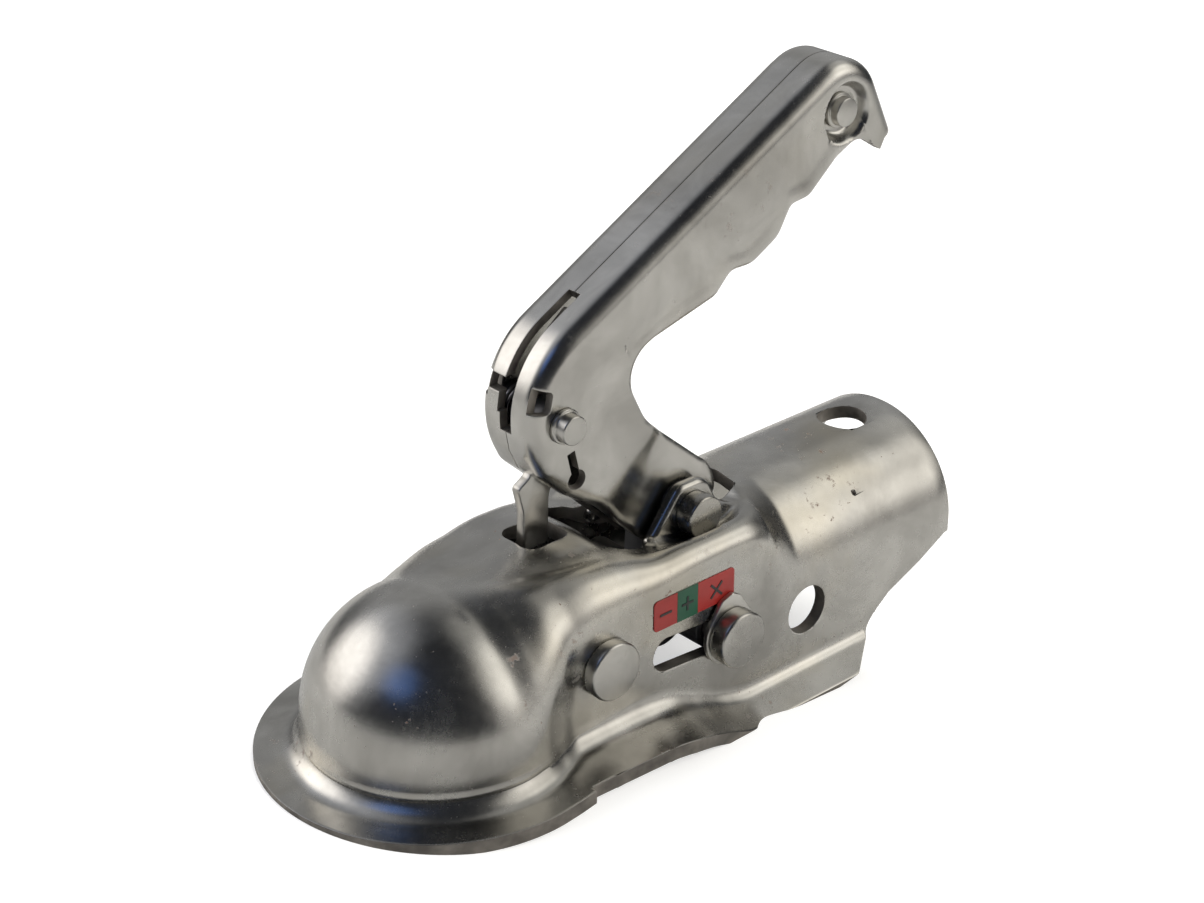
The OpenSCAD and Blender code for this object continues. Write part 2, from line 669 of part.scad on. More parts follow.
// Turns and moves a shape from the crank's own axes, with its pivot at the origin, to its place
module at_crank() {
    translate([pivot_x, 0, pivot_z]) rotate([0, crank_angle, 0]) children();
}

// The lever inside the handle: its long eye drives the indicator pin
module crank() {
    b = boss_w / 2 - handle_sheet;
    far = crank_r + eye_travel;
    eye = slider_r + eye_play;
    color("dimgray") difference() {
        union() {
            at_crank() {
                cross_bar(0, 0, bush_r + 3.5, -b, b);
                translate([-7, -crank_half, -crank_r]) cube([14, 2 * crank_half, crank_r]);
                cross_bar(0, -crank_r, crank_lobe, -crank_half, crank_half);
                cross_bar(0, -far, crank_lobe, -crank_half, crank_half);
                translate([-crank_lobe, -crank_half, -far])
                    cube([2 * crank_lobe, 2 * crank_half, far - crank_r]);
            }
        }
        at_crank() {
            cross_bar(0, 0, bush_r, -60, 60);
            cross_bar(0, -crank_r, eye, -60, 60);
            cross_bar(0, -far, eye, -60, 60);
            translate([-eye, -60, -far]) cube([2 * eye, 120, far - crank_r]);
        }
    }
}

// A patch of the label between two shares of its length, on the near wall
module label_patch(from, to, left, right) {
    x0 = label_x + label_l * from;
    x1 = label_x + label_l * to;
    z1 = label_z + label_h;
    plate(-wall_half - label_t, -wall_half)
        polygon(rounded([[x0, label_z, left], [x0, z1, left], [x1, z1, right], [x1, label_z, right]]));
}

module label_red_fields() {
    color("firebrick") {
        label_patch(0, 0.285, label_corner, 0);
        label_patch(0.538, 1, 0, label_corner);
    }
}

module label_green_field() {
    color("seagreen") label_patch(0.285, 0.538, 0, 0);
}

// A stroke of a sign, centred at a share of the label's length
module stroke(share, l, angle) {
    translate([label_x + label_l * share, -wall_half - label_t, label_z + label_h / 2])
        rotate([0, angle, 0]) translate([-l / 2, -label_t / 2, -sign_w / 2]) cube([l, label_t / 2, sign_w]);
}

module label_signs() {
    color("black") {
        stroke(0.142, sign_l, 0);
        stroke(0.41, sign_l, 0);
        stroke(0.41, sign_l, 90);
        stroke(0.77, sign_l * 1.4, 45);
        stroke(0.77, sign_l * 1.4, -45);
    }
}

housing();
jaw();
jaw_pin();
jaw_pin_ring();
jaw_spacers();
indicator_pin();
pointer();
indicator_pin_ring();
pin_sleeves();
push_frame();
closing_springs();
spring_seat();
handle_near_shell();
handle_far_shell();
top_rivet();
grip_spacer();
lower_rivet();
catch();
catch_spacers();
catch_spring();
pivot_bolt();
pivot_ring();
pivot_bush();
crank();
label_red_fields();
label_green_field();
label_signs();
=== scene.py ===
import json
import math

import bpy
from mathutils import Matrix, Vector


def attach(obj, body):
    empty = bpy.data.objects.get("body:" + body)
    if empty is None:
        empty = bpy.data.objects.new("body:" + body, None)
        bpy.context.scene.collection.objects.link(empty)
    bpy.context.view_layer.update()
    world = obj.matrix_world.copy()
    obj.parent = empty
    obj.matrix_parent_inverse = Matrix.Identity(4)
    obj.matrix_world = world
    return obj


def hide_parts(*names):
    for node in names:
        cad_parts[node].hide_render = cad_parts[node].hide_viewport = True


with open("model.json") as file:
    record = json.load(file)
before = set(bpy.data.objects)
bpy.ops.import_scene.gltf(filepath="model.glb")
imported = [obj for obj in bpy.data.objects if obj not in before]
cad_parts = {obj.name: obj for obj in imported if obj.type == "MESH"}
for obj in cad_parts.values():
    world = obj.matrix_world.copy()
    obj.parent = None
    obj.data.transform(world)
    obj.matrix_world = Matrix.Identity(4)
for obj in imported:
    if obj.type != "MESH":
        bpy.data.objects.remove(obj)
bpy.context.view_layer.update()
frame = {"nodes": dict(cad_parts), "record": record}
slotOf = {part["node"]: part["material_slot"] for part in frame["record"]["subparts"]}
mm = 0.001
print("frame loaded:", len(frame["nodes"]), "nodes")

cameraSettings = {
    "azimuth": -42.043,    # degrees, 0 looks along +Y
    "elevation": 27.166,
    "roll": 0.04,
    "distance": 650.9,     # mm
    "target": (62.35, 0, 49.69),
    "lens": 73.07,
}
studio = {
    "floorSize": 6.0,      # metres
    "floorPlace": (0.065, 0, -0.0255),
    "floorColour": (0.55, 0.55, 0.54, 1),
    "floorGlow": 0.55,
    "floorTilt": 5.0,      # degrees, so that the floor lies under rim and skirt
    "aim": (0.065, 0, 0.03),
    "sky": (0.030, 0.033, 0.040),
    # soft glows of the sky: direction, inner and outer half width in degrees, brightness
    "glows": (
        ((-0.49, 0.77, 0.41), 10, 32, (2.1, 2.0, 1.9)),
        ((-0.45, 0.62, 0.66), 10, 46, (0.60, 0.62, 0.68)),
        ((0.62, -0.58, 0.53), 10, 33, (1.45, 1.40, 1.30)),
        ((0.55, -0.80, 0.20), 6, 27, (0.75, 0.72, 0.68)),
        ((0.60, -0.10, 0.79), 8, 30, (0.60, 0.59, 0.56)),
        ((0.60, 0.66, 0.46), 5, 48, (0.42, 0.42, 0.42)),
        ((-0.68, -0.08, 0.73), 4, 18, (0.10, 0.22, 0.60)),
    ),
    "lamps": (
        # name, place and size in metres, watts, colour
        ("keyLamp", (0.25, -0.95, 0.75), (0.7, 0.45), 11, (1.0, 0.97, 0.92)),
        ("sideLamp", (-1.05, -0.05, 0.40), (0.35, 0.6), 5, (0.95, 0.97, 1.0)),
        ("backLamp", (0.8, 0.75, 0.85), (0.9, 0.5), 13, (1.0, 0.98, 0.95)),
    ),
}


# Shader maths: a socket that takes + - * / from both sides
class Wire:
    def __init__(self, tree, socket):
        self.tree = tree
        self.socket = socket

    def math(self, operation, *others, clamp=False):
        node = self.tree.nodes.new("ShaderNodeMath")
        node.operation = operation
        node.use_clamp = clamp
        for slot, value in zip(node.inputs, (self,) + others):
            plug(self.tree, slot, value)
        return Wire(self.tree, node.outputs[0])

    def __add__(self, other):
        return self.math("ADD", other)

    def __sub__(self, other):
        return self.math("SUBTRACT", other)

    def __rsub__(self, other):
        return self.math("MULTIPLY_ADD", -1.0, other)

    def __mul__(self, other):
        return self.math("MULTIPLY", other)

    def __truediv__(self, other):
        return self.math("DIVIDE", other)

    __radd__ = __add__
    __rmul__ = __mul__


def plug(tree, slot, value):
    if isinstance(value, Wire):
        tree.links.new(value.socket, slot)
    else:
        slot.default_value = value


class Tree:
    def __init__(self, tree):
        self.tree = tree

    def node(self, kind, settings, values, out=0):
        made = self.tree.nodes.new(kind)
        for key, value in settings.items():
            setattr(made, key, value)
        for key, value in values.items():
            plug(self.tree, made.inputs[key], value)
        return Wire(self.tree, made.outputs[out])

    def mask(self, value, low, high, curve="LINEAR"):
        settings = {"clamp": True, "interpolation_type": curve}
        return self.node("ShaderNodeMapRange", settings, {0: value, 1: low, 2: high, 3: 0.0, 4: 1.0})

    def mix(self, factor, first, second):
        return self.node("ShaderNodeMix", {"data_type": "RGBA"}, {0: factor, 6: first, 7: second}, 2)


class Shader(Tree):
    def __init__(self, name):
        self.material = bpy.data.materials.new(name)
        self.material.use_nodes = True
        super().__init__(self.material.node_tree)
        self.surface = self.tree.nodes["Principled BSDF"]

    def place(self, scale=(1, 1, 1), turn=(0, 0, 0)):
        spot = self.node("ShaderNodeTexCoord", {}, {}, 3)
        return self.node("ShaderNodeMapping", {}, {"Vector": spot, "Scale": scale, "Rotation": turn})

    def noise(self, scale, detail=3.0, rough=0.55, place=None, warp=0.0):
        values = {"Vector": place or self.place(), "Scale": scale, "Detail": detail, "Roughness": rough,
                  "Distortion": warp}
        return self.node("ShaderNodeTexNoise", {}, values)

    def bump(self, height, strength, distance):
        return self.node("ShaderNodeBump", {}, {"Height": height, "Strength": strength, "Distance": distance})

    def finish(self, colour, metal, rough, normal):
        for slot, value in (("Base Color", colour), ("Metallic", metal), ("Roughness", rough), ("Normal", normal)):
            plug(self.tree, self.surface.inputs[slot], value)
        return self.material


zinc = {
    "dark": (0.330, 0.322, 0.300),
    "light": (0.520, 0.510, 0.480),
    "yellow": (0.52, 0.46, 0.33, 1),
    "rust": (0.13, 0.07, 0.045, 1),
}


def tone(colour, factor):
    return tuple(min(1, c * factor) for c in colour[:3]) + (1,)


# Zinc with soft clouds, a yellow tint, fine scratches and specks of rust
def zincFinish(name, light=1.0, rough=0.30, specks=0.5, scratches=0.5, yellow=0.25, relief=0.35):
    s = Shader(name)
    clouds = s.noise(38.0, 4.0, 0.6, warp=0.4)
    fine = s.noise(420.0, 3.0, 0.6)
    base = s.mix(s.mask(clouds, 0.34, 0.68), tone(zinc["dark"], light), tone(zinc["light"], light))
    tint = s.mask(s.noise(22.0, 3.0, 0.5, place=s.place((1, 1.6, 1))), 0.54, 0.74) * yellow
    base = s.mix(tint, base, zinc["yellow"])
    along = s.place((1.0, 26.0, 26.0), (0.0, 0.25, 0.12))
    lines = s.mask(s.noise(95.0, 2.0, 0.5, place=along), 0.70, 0.76) * s.mask(clouds, 0.45, 0.62)
    pits = s.mask(s.noise(900.0, 2.0, 0.5), 0.70, 0.76) * s.mask(s.noise(70.0, 2.0), 0.53, 0.66)
    marks = s.mask(s.noise(240.0, 4.0, 0.7), 0.60, 0.68) * s.mask(s.noise(24.0, 2.0), 0.57, 0.65)
    pits = pits.math("MAXIMUM", marks * 0.8)
    base = s.mix(pits * specks, base, zinc["rust"])
    gloss = clouds * 0.16 + fine * 0.10 + lines * (0.14 * scratches) + pits * (0.3 * specks) + (rough - 0.13)
    height = fine - lines * (0.8 * scratches) - pits * (1.2 * specks) + s.noise(60.0, 2.0) * 2.2
    return s.finish(base, 1.0 - pits * (0.8 * specks), gloss, s.bump(height, relief, 0.00006))


# One colour with a slight change over the surface and a fine grain
def plainFinish(name, colour, metal, rough, scale=500.0, spread=0.15, depth=0.00005):
    s = Shader(name)
    fine = s.noise(scale, 3.0, 0.6)
    wide = s.noise(scale * 0.12, 3.0, 0.6)
    base = s.mix(s.mask(wide, 0.35, 0.65), tone(colour, 1 - spread), tone(colour, 1 + spread))
    return s.finish(base, metal, wide * 0.2 + fine * 0.1 + (rough - 0.15), s.bump(fine, 0.3, depth))


finishes = {
    # brightness, roughness, specks, scratches, yellow, relief
    "zinc_housing": zincFinish("zinc on the pressed housing", 1.0, 0.26, 0.9, 0.7, 0.35, 0.22),
    "zinc_handle": zincFinish("zinc on the handle", 1.0, 0.24, 0.25, 0.4, 0.15, 0.12),
    "zinc_pins": zincFinish("zinc on the pins", 0.95, 0.28, 0.35, 0.3, 0.2, 0.2),
    "zinc_plates": zincFinish("zinc on the flat plates", 1.1, 0.32, 0.3, 0.3, 0.35),
    # colour, metal, roughness, grain, change of the colour, depth of the grain
    "dark_steel": plainFinish("greased dark steel", (0.10, 0.10, 0.105), 0.7, 0.45),
    "spring_steel": plainFinish("spring wire", (0.22, 0.22, 0.23), 1.0, 0.35),
    "label_red": plainFinish("red print", (0.22, 0.015, 0.012), 0.0, 0.35, 700.0, 0.12, 0.00002),
    "label_green": plainFinish("green print", (0.004, 0.052, 0.025), 0.0, 0.35, 700.0, 0.12, 0.00002),
    "label_black": plainFinish("black print", (0.012, 0.012, 0.012), 0.0, 0.4, 700.0, 0.1, 0.00002),
    "cut_edge": plainFinish("sheared edge", (0.20, 0.185, 0.165), 0.8, 0.55, 900.0, 0.35, 0.00015),
}
print("finishes made:", len(finishes))


def select(piece):
    for other in bpy.context.selected_objects:
        other.select_set(False)
    bpy.context.view_layer.objects.active = piece
    piece.select_set(True)


def apply(piece, kind, **settings):
    select(piece)
    modifier = piece.modifiers.new(kind.title(), kind)
    for key, value in settings.items():
        setattr(modifier, key, value)
    bpy.ops.object.modifier_apply(modifier=modifier.name)


def editAll(piece, *steps):
    select(piece)
    bpy.ops.object.mode_set(mode="EDIT")
    bpy.ops.mesh.select_all(action="SELECT")
    for step in steps:
        step()
    bpy.ops.object.mode_set(mode="OBJECT")


def mergeClose(distance):
    return lambda: bpy.ops.mesh.remove_doubles(threshold=distance * mm)


def faceOut():
    bpy.ops.mesh.normals_make_consistent(inside=False)


def smoothEdges(piece, angle):
    select(piece)
    bpy.ops.object.shade_smooth_by_angle(angle=math.radians(angle))


def dress(piece, finish, body, *nodes):
    if not piece.data.materials:
        piece.data.materials.append(finishes[finish])
    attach(piece, body)
    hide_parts(*nodes)


def copyNode(name, newName):
    mesh = frame["nodes"][name].data.copy()
    mesh.materials.clear()
    piece = bpy.data.objects.new(newName, mesh)
    bpy.context.scene.collection.objects.link(piece)
    editAll(piece, mergeClose(0.002), faceOut)
    return piece


def setCamera():
    a = math.radians(cameraSettings["azimuth"])
    e = math.radians(cameraSettings["elevation"])
    back = Vector((math.sin(a) * math.cos(e), -math.cos(a) * math.cos(e), math.sin(e)))
    data = bpy.data.cameras.new("photoCamera")
    data.lens = cameraSettings["lens"]
    data.sensor_width = 36
    data.clip_start = 0.01
    camera = bpy.data.objects.new("photoCamera", data)
    bpy.context.scene.collection.objects.link(camera)
    camera.location = (Vector(cameraSettings["target"]) + back * cameraSettings["distance"]) * mm
    roll = Matrix.Rotation(math.radians(cameraSettings["roll"]), 3, "Z")
    camera.rotation_euler = (back.to_track_quat("Z", "Y").to_matrix() @ roll).to_euler()
    bpy.context.scene.camera = camera


def setStudio():
    bpy.ops.mesh.primitive_plane_add(size=studio["floorSize"], location=studio["floorPlace"])
    floor = bpy.context.object
    floor.name = "studioFloor"
    floor.rotation_euler = (0, math.radians(studio["floorTilt"]), 0)
    s = Shader("pale floor")
    seen = s.node("ShaderNodeLightPath", {}, {}, 0)
    for key, value in (("Base Color", studio["floorColour"]), ("Roughness", 0.7), ("Specular IOR Level", 0.1),
                       ("Emission Color", (1, 1, 1, 1)), ("Emission Strength", seen * studio["floorGlow"])):
        plug(s.tree, s.surface.inputs[key], value)
    floor.data.materials.append(s.material)
    world = bpy.data.worlds.new("studioWorld")
    bpy.context.scene.world = world
    world.use_nodes = True
    sky = Tree(world.node_tree)
    direction = sky.node("ShaderNodeTexCoord", {}, {}, 0)
    light = studio["sky"]
    for aim, inner, outer, colour in studio["glows"]:
        toward = Vector(aim).normalized()
        near = sky.node("ShaderNodeVectorMath", {"operation": "DOT_PRODUCT"}, {0: direction, 1: toward}, 1)
        near = sky.mask(near, math.cos(math.radians(outer)), math.cos(math.radians(inner)), "SMOOTHSTEP")
        light = sky.node("ShaderNodeVectorMath", {"operation": "MULTIPLY_ADD"}, {0: near, 1: colour, 2: light})
    seen = sky.node("ShaderNodeLightPath", {}, {}, 0)
    plug(sky.tree, world.node_tree.nodes["Background"].inputs["Color"], sky.mix(seen, light, (1, 1, 1, 1)))
    for name, place, size, power, colour in studio["lamps"]:
        data = bpy.data.lights.new(name, "AREA")
        data.shape = "RECTANGLE"
        data.size, data.size_y = size
        data.energy = power
        data.color = colour
        lamp = bpy.data.objects.new(name, data)
        bpy.context.scene.collection.objects.link(lamp)
        lamp.visible_glossy = False
        lamp.location = place
        aim = Vector(place) - Vector(studio["aim"])
        lamp.rotation_euler = aim.to_track_quat("Z", "Y").to_euler()


setCamera()
setStudio()
bpy.context.scene.view_settings.view_transform = "Standard"
print("camera, floor and lamps made")


# Corners, each (x, z, radius), as a list of points with the corners rounded
def rounded(corners, step=8):
    points = []
    for i, (x, z, r) in enumerate(corners):
        if r == 0:
            points.append((x, z))
            continue
        here = Vector((x, z))
        u = (Vector(corners[i - 1][:2]) - here).normalized()
        v = (Vector(corners[(i + 1) % len(corners)][:2]) - here).normalized()
        half = math.acos(max(-1, min(1, u.dot(v)))) / 2
        centre = here + (u + v).normalized() * (r / math.sin(half))
        start = here + u * (r / math.tan(half)) - centre
        sweep = math.pi - 2 * half
        side = 1 if u.x * v.y - u.y * v.x > 0 else -1
        count = max(2, math.ceil(math.degrees(sweep) / step))
        for k in range(count + 1):
            t = -side * sweep * k / count
            points.append((centre.x + start.x * math.cos(t) - start.y * math.sin(t),
                           centre.y + start.x * math.sin(t) + start.y * math.cos(t)))
    return points


def roundOutline(x, z, r, count=72):
    return [(x + r * math.cos(math.tau * i / count), z + r * math.sin(math.tau * i / count)) for i in range(count)]


# A prism over an outline: drawn in X and Z and run along Y, or drawn in X and Y and run along Z
def prism(name, outline, low, high, upright=False):
    bpy.ops.mesh.primitive_circle_add(vertices=len(outline), fill_type="NGON")
    piece = bpy.context.object
    piece.name = name
    for v, (a, b) in zip(piece.data.vertices, outline):
        v.co = Vector((a, b, low) if upright else (a, low, b)) * mm
    move = (0, 0, (high - low) * mm) if upright else (0, (high - low) * mm, 0)
    editAll(piece, lambda: bpy.ops.mesh.extrude_region_move(TRANSFORM_OT_translate={"value": move}),
            lambda: bpy.ops.mesh.select_all(action="SELECT"), faceOut)
    return piece


def joinAll(pieces):
    select(pieces[0])
    for piece in pieces[1:]:
        piece.select_set(True)
    if len(pieces) > 1:
        bpy.ops.object.join()
    return pieces[0]


def cutAway(piece, cutters):
    tool = joinAll(cutters)
    tool.data.materials.clear()
    tool.data.materials.append(finishes["cut_edge"])
    apply(piece, "BOOLEAN", object=tool, operation="DIFFERENCE", solver="EXACT", material_mode="TRANSFER")
    bpy.data.objects.remove(tool)


housing = {
    "sheet": 4.0,
    "domeX": 4.0,
    "profilePoints": 100,
    "noseColumns": 84,
    "bodyColumns": 124,
    "saddleColumns": 12,
    "saddleEnd": 174.0,
    "saddleStart": 112.0,
    "cutBevel": 0.35,
    "earFillet": 4.2,
    "earLift": 2.2,
    "sectionSteps": (20, 32, 24),     # along crown, shoulder and bend
    # forms of the top plate: lift, x and its spread, place beside the middle and its spread
    "forms": ((0.9, 48, 4, 0, 13), (-0.9, 61, 6, 20, 5), (-1.6, 82.8, 7, 18, 3)),
    "formsAbove": 15,
    # line round the foot of the dome: height of the bead, bead and groove as z and spread
    "beadHeight": 0.25,
    "bead": (-9.6, 0.7),
    "groove": (-10.9, 0.6),
    "beadBand": (-13, -5),
    "beadEnd": 40,
    "beadFade": 20,
    # x, half width, shoulder height, shoulder radius, crown rise, kink height, bend radius, lip slope, lip half width
    "stations": (
        (4, 36, 30, 35, 0, -8.5, 6, 0, 48.5),
        (12, 34.8, 30.8, 30, 0.2, -8.5, 6, 0, 47.9),
        (20, 31.8, 31.2, 21, 1, -8.5, 6, 0, 47),
        (28, 29.1, 31.5, 15, 2.2, -8.5, 6, 0, 47),
        (35, 29, 31.5, 12.5, 2.8, -8.5, 6, 0, 47),
        (45, 29, 30.9, 11, 2, -8.5, 6, 0, 47),
        (52, 29, 29.8, 10, 0.3, -8.9, 6, 1, 46.9),
        (60, 29, 28.9, 8.5, -1.5, -10.2, 6, 4, 46.2),
        (70, 29, 28.5, 6.5, -4.5, -14.2, 5.5, 10, 43.8),
        (81, 29, 28.5, 6, -5, -18.8, 5, 18, 41.6),
        (90, 29, 28.5, 6.5, -5, -21.0, 4.5, 22, 40.2),
        (98, 29, 28.7, 11, -2.5, -21.5, 4, 22, 39.5),
        (104, 29, 29, 21, -0.2, -21.5, 4, 22, 39.5),
        (112, 29, 29, 28.5, 0, -21.5, 4, 22, 39.5),
        (174, 29, 29, 28.5, 0, -21.5, 4, 22, 39.5),
    ),
}
pivot = {"x": 82.8, "z": 29.9, "open": 26.0, "headRadius": 6.1}
ear = {
    "inner": 9.8,
    "outer": 13.8,
    "bevel": 1.6,
    "ahead": 15,
    "behind": 12.5,
    "free": 8,
    "outline": ((66.8, 21.5, 0), (67.3, 24.9, 4), (78.2, 38.5, 5), (88.3, 38.5, 6), (94.8, 25.9, 3), (96.8, 21.5, 0)),
}


# Steady slopes at each row, so that a curve through the rows has no corner and no overshoot
def slopesOf(rows):
    slopes = [[0] * len(rows[0])]
    for before, here, after in zip(rows, rows[1:], rows[2:]):
        pairs = [((h - b) / (here[0] - before[0]), (a - h) / (after[0] - here[0]))
                 for b, h, a in zip(before, here, after)]
        slopes.append([2 * p * q / (p + q) if p * q > 0 else 0 for p, q in pairs])
    return slopes + [[0] * len(rows[0])]


def between(rows, slopes, x):
    for first, second, m, n in zip(rows, rows[1:], slopes, slopes[1:]):
        if x <= second[0]:
            h = second[0] - first[0]
            t = max(0, (x - first[0]) / h)
            u = 1 - t
            return [(1 + 2 * t) * u * u * a + t * t * (3 - 2 * t) * b + h * t * u * (u * p - t * q)
                    for a, b, p, q in zip(first, second, m, n)]
    return list(rows[-1])


def stationAt(x):
    return between(housing["stations"], stationSlopes, x)


# Half a section from the crown to the lip's edge, as evenly spaced points (y, z)
def halfSection(station, count):
    _, w, z, r, c, k, b, slope, edge = station
    turn = math.radians(90 - slope)
    power = 4 if c < 0 else 2
    crown, shoulder, bend = housing["sectionSteps"]
    line = [((w - r) * i / crown, z + c * (1 - (i / crown) ** power)) for i in range(crown + 1)]
    for i in range(1, shoulder + 1):
        a = math.pi / 2 * (1 - i / shoulder)
        line.append((w - r + r * math.cos(a), z - r + r * math.sin(a)))
    for i in range(bend + 1):
        a = math.pi + turn * i / bend
        line.append((w + b + b * math.cos(a), k + b * math.sin(a)))
    endY, endZ = line[-1]
    line.append((edge, endZ - (edge - endY) * math.tan(math.radians(slope))))
    lengths = [0]
    for p, q in zip(line, line[1:]):
        lengths.append(lengths[-1] + math.dist(p, q))
    even = []
    at = 0
    for i in range(count):
        want = lengths[-1] * i / (count - 1)
        while at < len(lengths) - 2 and lengths[at + 1] < want:
            at += 1
        share = (want - lengths[at]) / max(1e-9, lengths[at + 1] - lengths[at])
        even.append(tuple(a + (b - a) * share for a, b in zip(line[at], line[at + 1])))
    return even


def bell(value, centre, width):
    return math.exp(-((value - centre) / width) ** 2)


# Small forms pressed into the sheet, as a lift of the top plate at x, y
def topLift(x, y):
    side = abs(y)
    lift = sum(high * bell(x, at, long) * bell(side, beside, wide) for high, at, long, beside, wide in housing["forms"])
    dx = max(pivot["x"] - ear["ahead"] - x, 0, x - pivot["x"] - ear["behind"])
    away = math.hypot(dx, max(side - ear["outer"], 0)) / housing["earFillet"]
    if away < 1:
        share = 1 - math.exp(-((x - pivot["x"]) / ear["free"]) ** 4)
        lift += share * housing["earLift"] * (1 - away) ** 2
    return lift


# The small forms of the outer face alone, moved after the sheet has its thickness
def pressDetails(sheet, outer):
    low, high = housing["beadBand"]
    for v in list(sheet.data.vertices)[:outer]:
        x, y, z = v.co / mm
        if z > housing["formsAbove"]:
            v.co.z += topLift(x, y) * mm
        elif low < z < high and x < housing["beadEnd"]:
            out = Vector((min(x - housing["domeX"], 0), y, 0)).normalized()
            fade = max(0, min(1, (housing["beadEnd"] - x) / housing["beadFade"]))
            wave = bell(z, *housing["bead"]) - bell(z, *housing["groove"])
            v.co += out * (housing["beadHeight"] * fade * wave * mm)


def buildSkin():
    rows = housing["profilePoints"]
    body = housing["bodyColumns"]
    nose = housing["noseColumns"]
    saddle = housing["saddleColumns"]
    start, end, front = housing["saddleStart"], housing["saddleEnd"], housing["domeX"]
    places = [end + (start - end) * i / saddle for i in range(saddle)]
    places += [start + (front - start) * i / (body - saddle) for i in range(body - saddle)]
    total = 2 * body + nose + 1
    bpy.ops.mesh.primitive_grid_add(x_subdivisions=total - 1, y_subdivisions=rows - 1, size=2)
    skin = bpy.context.object
    skin.name = "pressed_housing"
    sections = []
    for column in range(total):
        if column < body:
            sections.append((halfSection(stationAt(places[column]), rows), places[column], 1, None))
        elif column <= body + nose:
            angle = math.pi * (column - body) / nose + math.pi / 2
            sections.append((halfSection(housing["stations"][0], rows), front, 0, angle))
        else:
            x = places[total - 1 - column]
            sections.append((halfSection(stationAt(x), rows), x, -1, None))
    for v in skin.data.vertices:
        column = round((v.co.x + 1) / 2 * (total - 1))
        row = round((v.co.y + 1) / 2 * (rows - 1))
        section, x, side, angle = sections[column]
        y, z = section[row]
        if angle is not None:
            v.co = Vector((x + y * math.cos(angle), y * math.sin(angle), z)) * mm
        else:
            v.co = Vector((x, y * side, z)) * mm
    editAll(skin, mergeClose(0.02), faceOut)
    return skin


stationSlopes = slopesOf(housing["stations"])
housingSkin = buildSkin()
if sum(f.normal.z * f.area for f in housingSkin.data.polygons) < 0:
    housingSkin.data.flip_normals()
housingSkin.data.materials.append(finishes["zinc_housing"])
housingSkin.data.materials.append(finishes["cut_edge"])
outerCount = len(housingSkin.data.vertices)
apply(housingSkin, "SOLIDIFY", thickness=housing["sheet"] * mm, offset=-1, use_even_offset=True,
      material_offset_rim=1)
pressDetails(housingSkin, outerCount)
print("housing sheet:", len(housingSkin.data.polygons), "faces")

slot = {"x": 81.5, "z": -0.7, "radius": 5.0, "length": 33.0, "tilt": 4.0, "past": 1.2}


def slotOutline():
    a = math.radians(slot["tilt"])
    run = slot["length"] - 2 * slot["radius"]
    points = []
    for end, turn in ((slot["past"], -90), (slot["past"] - run, 90)):
        for i in range(25):
            t = math.radians(turn + 180 * i / 24)
            u, v = end + slot["radius"] * math.cos(t), slot["radius"] * math.sin(t)
            x = slot["x"] + u * math.cos(a) + v * math.sin(a)
            points.append((x, slot["z"] - u * math.sin(a) + v * math.cos(a)))
    return points


# Outlines with corner radii, and holes as place and radius
cuts = {
    "rear": ((179, -3, 0), (172.5, -4, 0), (162, -9.6, 0), (149, -15, 2.5), (143, -19.5, 2.5), (138, -25, 2.5),
             (117, -31, 2.5), (117, -60, 0), (179, -60, 0)),
    "opening": ((49.5, -15.5, 8), (62.5, -15.5, 6), (72.5, -9.8, 8), (104, -9.8, 3), (106, 0, 8), (104, 9.8, 3),
                (72.5, 9.8, 8), (62.5, 15.5, 6), (49.5, 15.5, 8), (51.5, 0, 20)),
    "catch": ((31, -7.5, 4), (31, 7.5, 4), (46, 5.5, 3), (46, -5.5, 3)),
    "notch": ((18.5, 45), (58, 46.8), (58, 80), (18.5, 80)),
    "pin": (38, 6, 6.0),
    "bolt": (114, -7, 7.25),
    "top": (157, 0, 7.25),
    "dot": (138.8, -22.2, 0.55),
    # round the heads of the pivot, with its gap, as the range beside the middle
    "pocketGap": 0.35,
    "pocket": (13.8, 19.75),
    "reach": 60,
}
reach = cuts["reach"]
inner, outer = cuts["pocket"]
pocket = roundOutline(pivot["x"], pivot["z"], pivot["headRadius"] + cuts["pocketGap"])
cutAway(housingSkin, [
    prism("rearCut", rounded(cuts["rear"]), -reach, reach),
    prism("openingCut", rounded(cuts["opening"]), 15, reach, True),
    prism("catchCut", rounded(cuts["catch"]), 20, 50, True),
    prism("nearNotch", [(x, -y) for x, y in cuts["notch"]], -40, -8, True),
    prism("farNotch", cuts["notch"], -40, -8, True),
    prism("slotCut", slotOutline(), -reach, reach),
    prism("pinCut", roundOutline(*cuts["pin"]), -reach, reach),
    prism("boltCut", roundOutline(*cuts["bolt"]), -reach, reach),
    prism("nearPocket", pocket, -outer, -inner),
    prism("farPocket", pocket, inner, outer),
    prism("topCut", roundOutline(*cuts["top"]), 0, reach, True),
    prism("dotCut", roundOutline(*cuts["dot"], 16), 0, reach, True),
])
editAll(housingSkin, mergeClose(0.08))
print("housing cut:", len(housingSkin.data.polygons), "faces")
apply(housingSkin, "BEVEL", width=housing["cutBevel"] * mm, segments=2, limit_method="ANGLE",
      angle_limit=math.radians(50), use_clamp_overlap=False, loop_slide=False, miter_outer="MITER_ARC")
ears = []
for side in (-1, 1):
    low, high = sorted((side * ear["inner"], side * ear["outer"]))
    plate = prism("ear", rounded(ear["outline"]), low, high)
    plate.data.materials.append(finishes["zinc_housing"])
    apply(plate, "BEVEL", width=ear["bevel"] * mm, segments=4, limit_method="ANGLE", angle_limit=math.radians(60))
    ears.append(plate)
housingSkin = joinAll([housingSkin] + ears)
smoothEdges(housingSkin, 38)
dress(housingSkin, "zinc_housing", "housing", "housing")
print("housing done:", len(housingSkin.data.polygons), "faces")

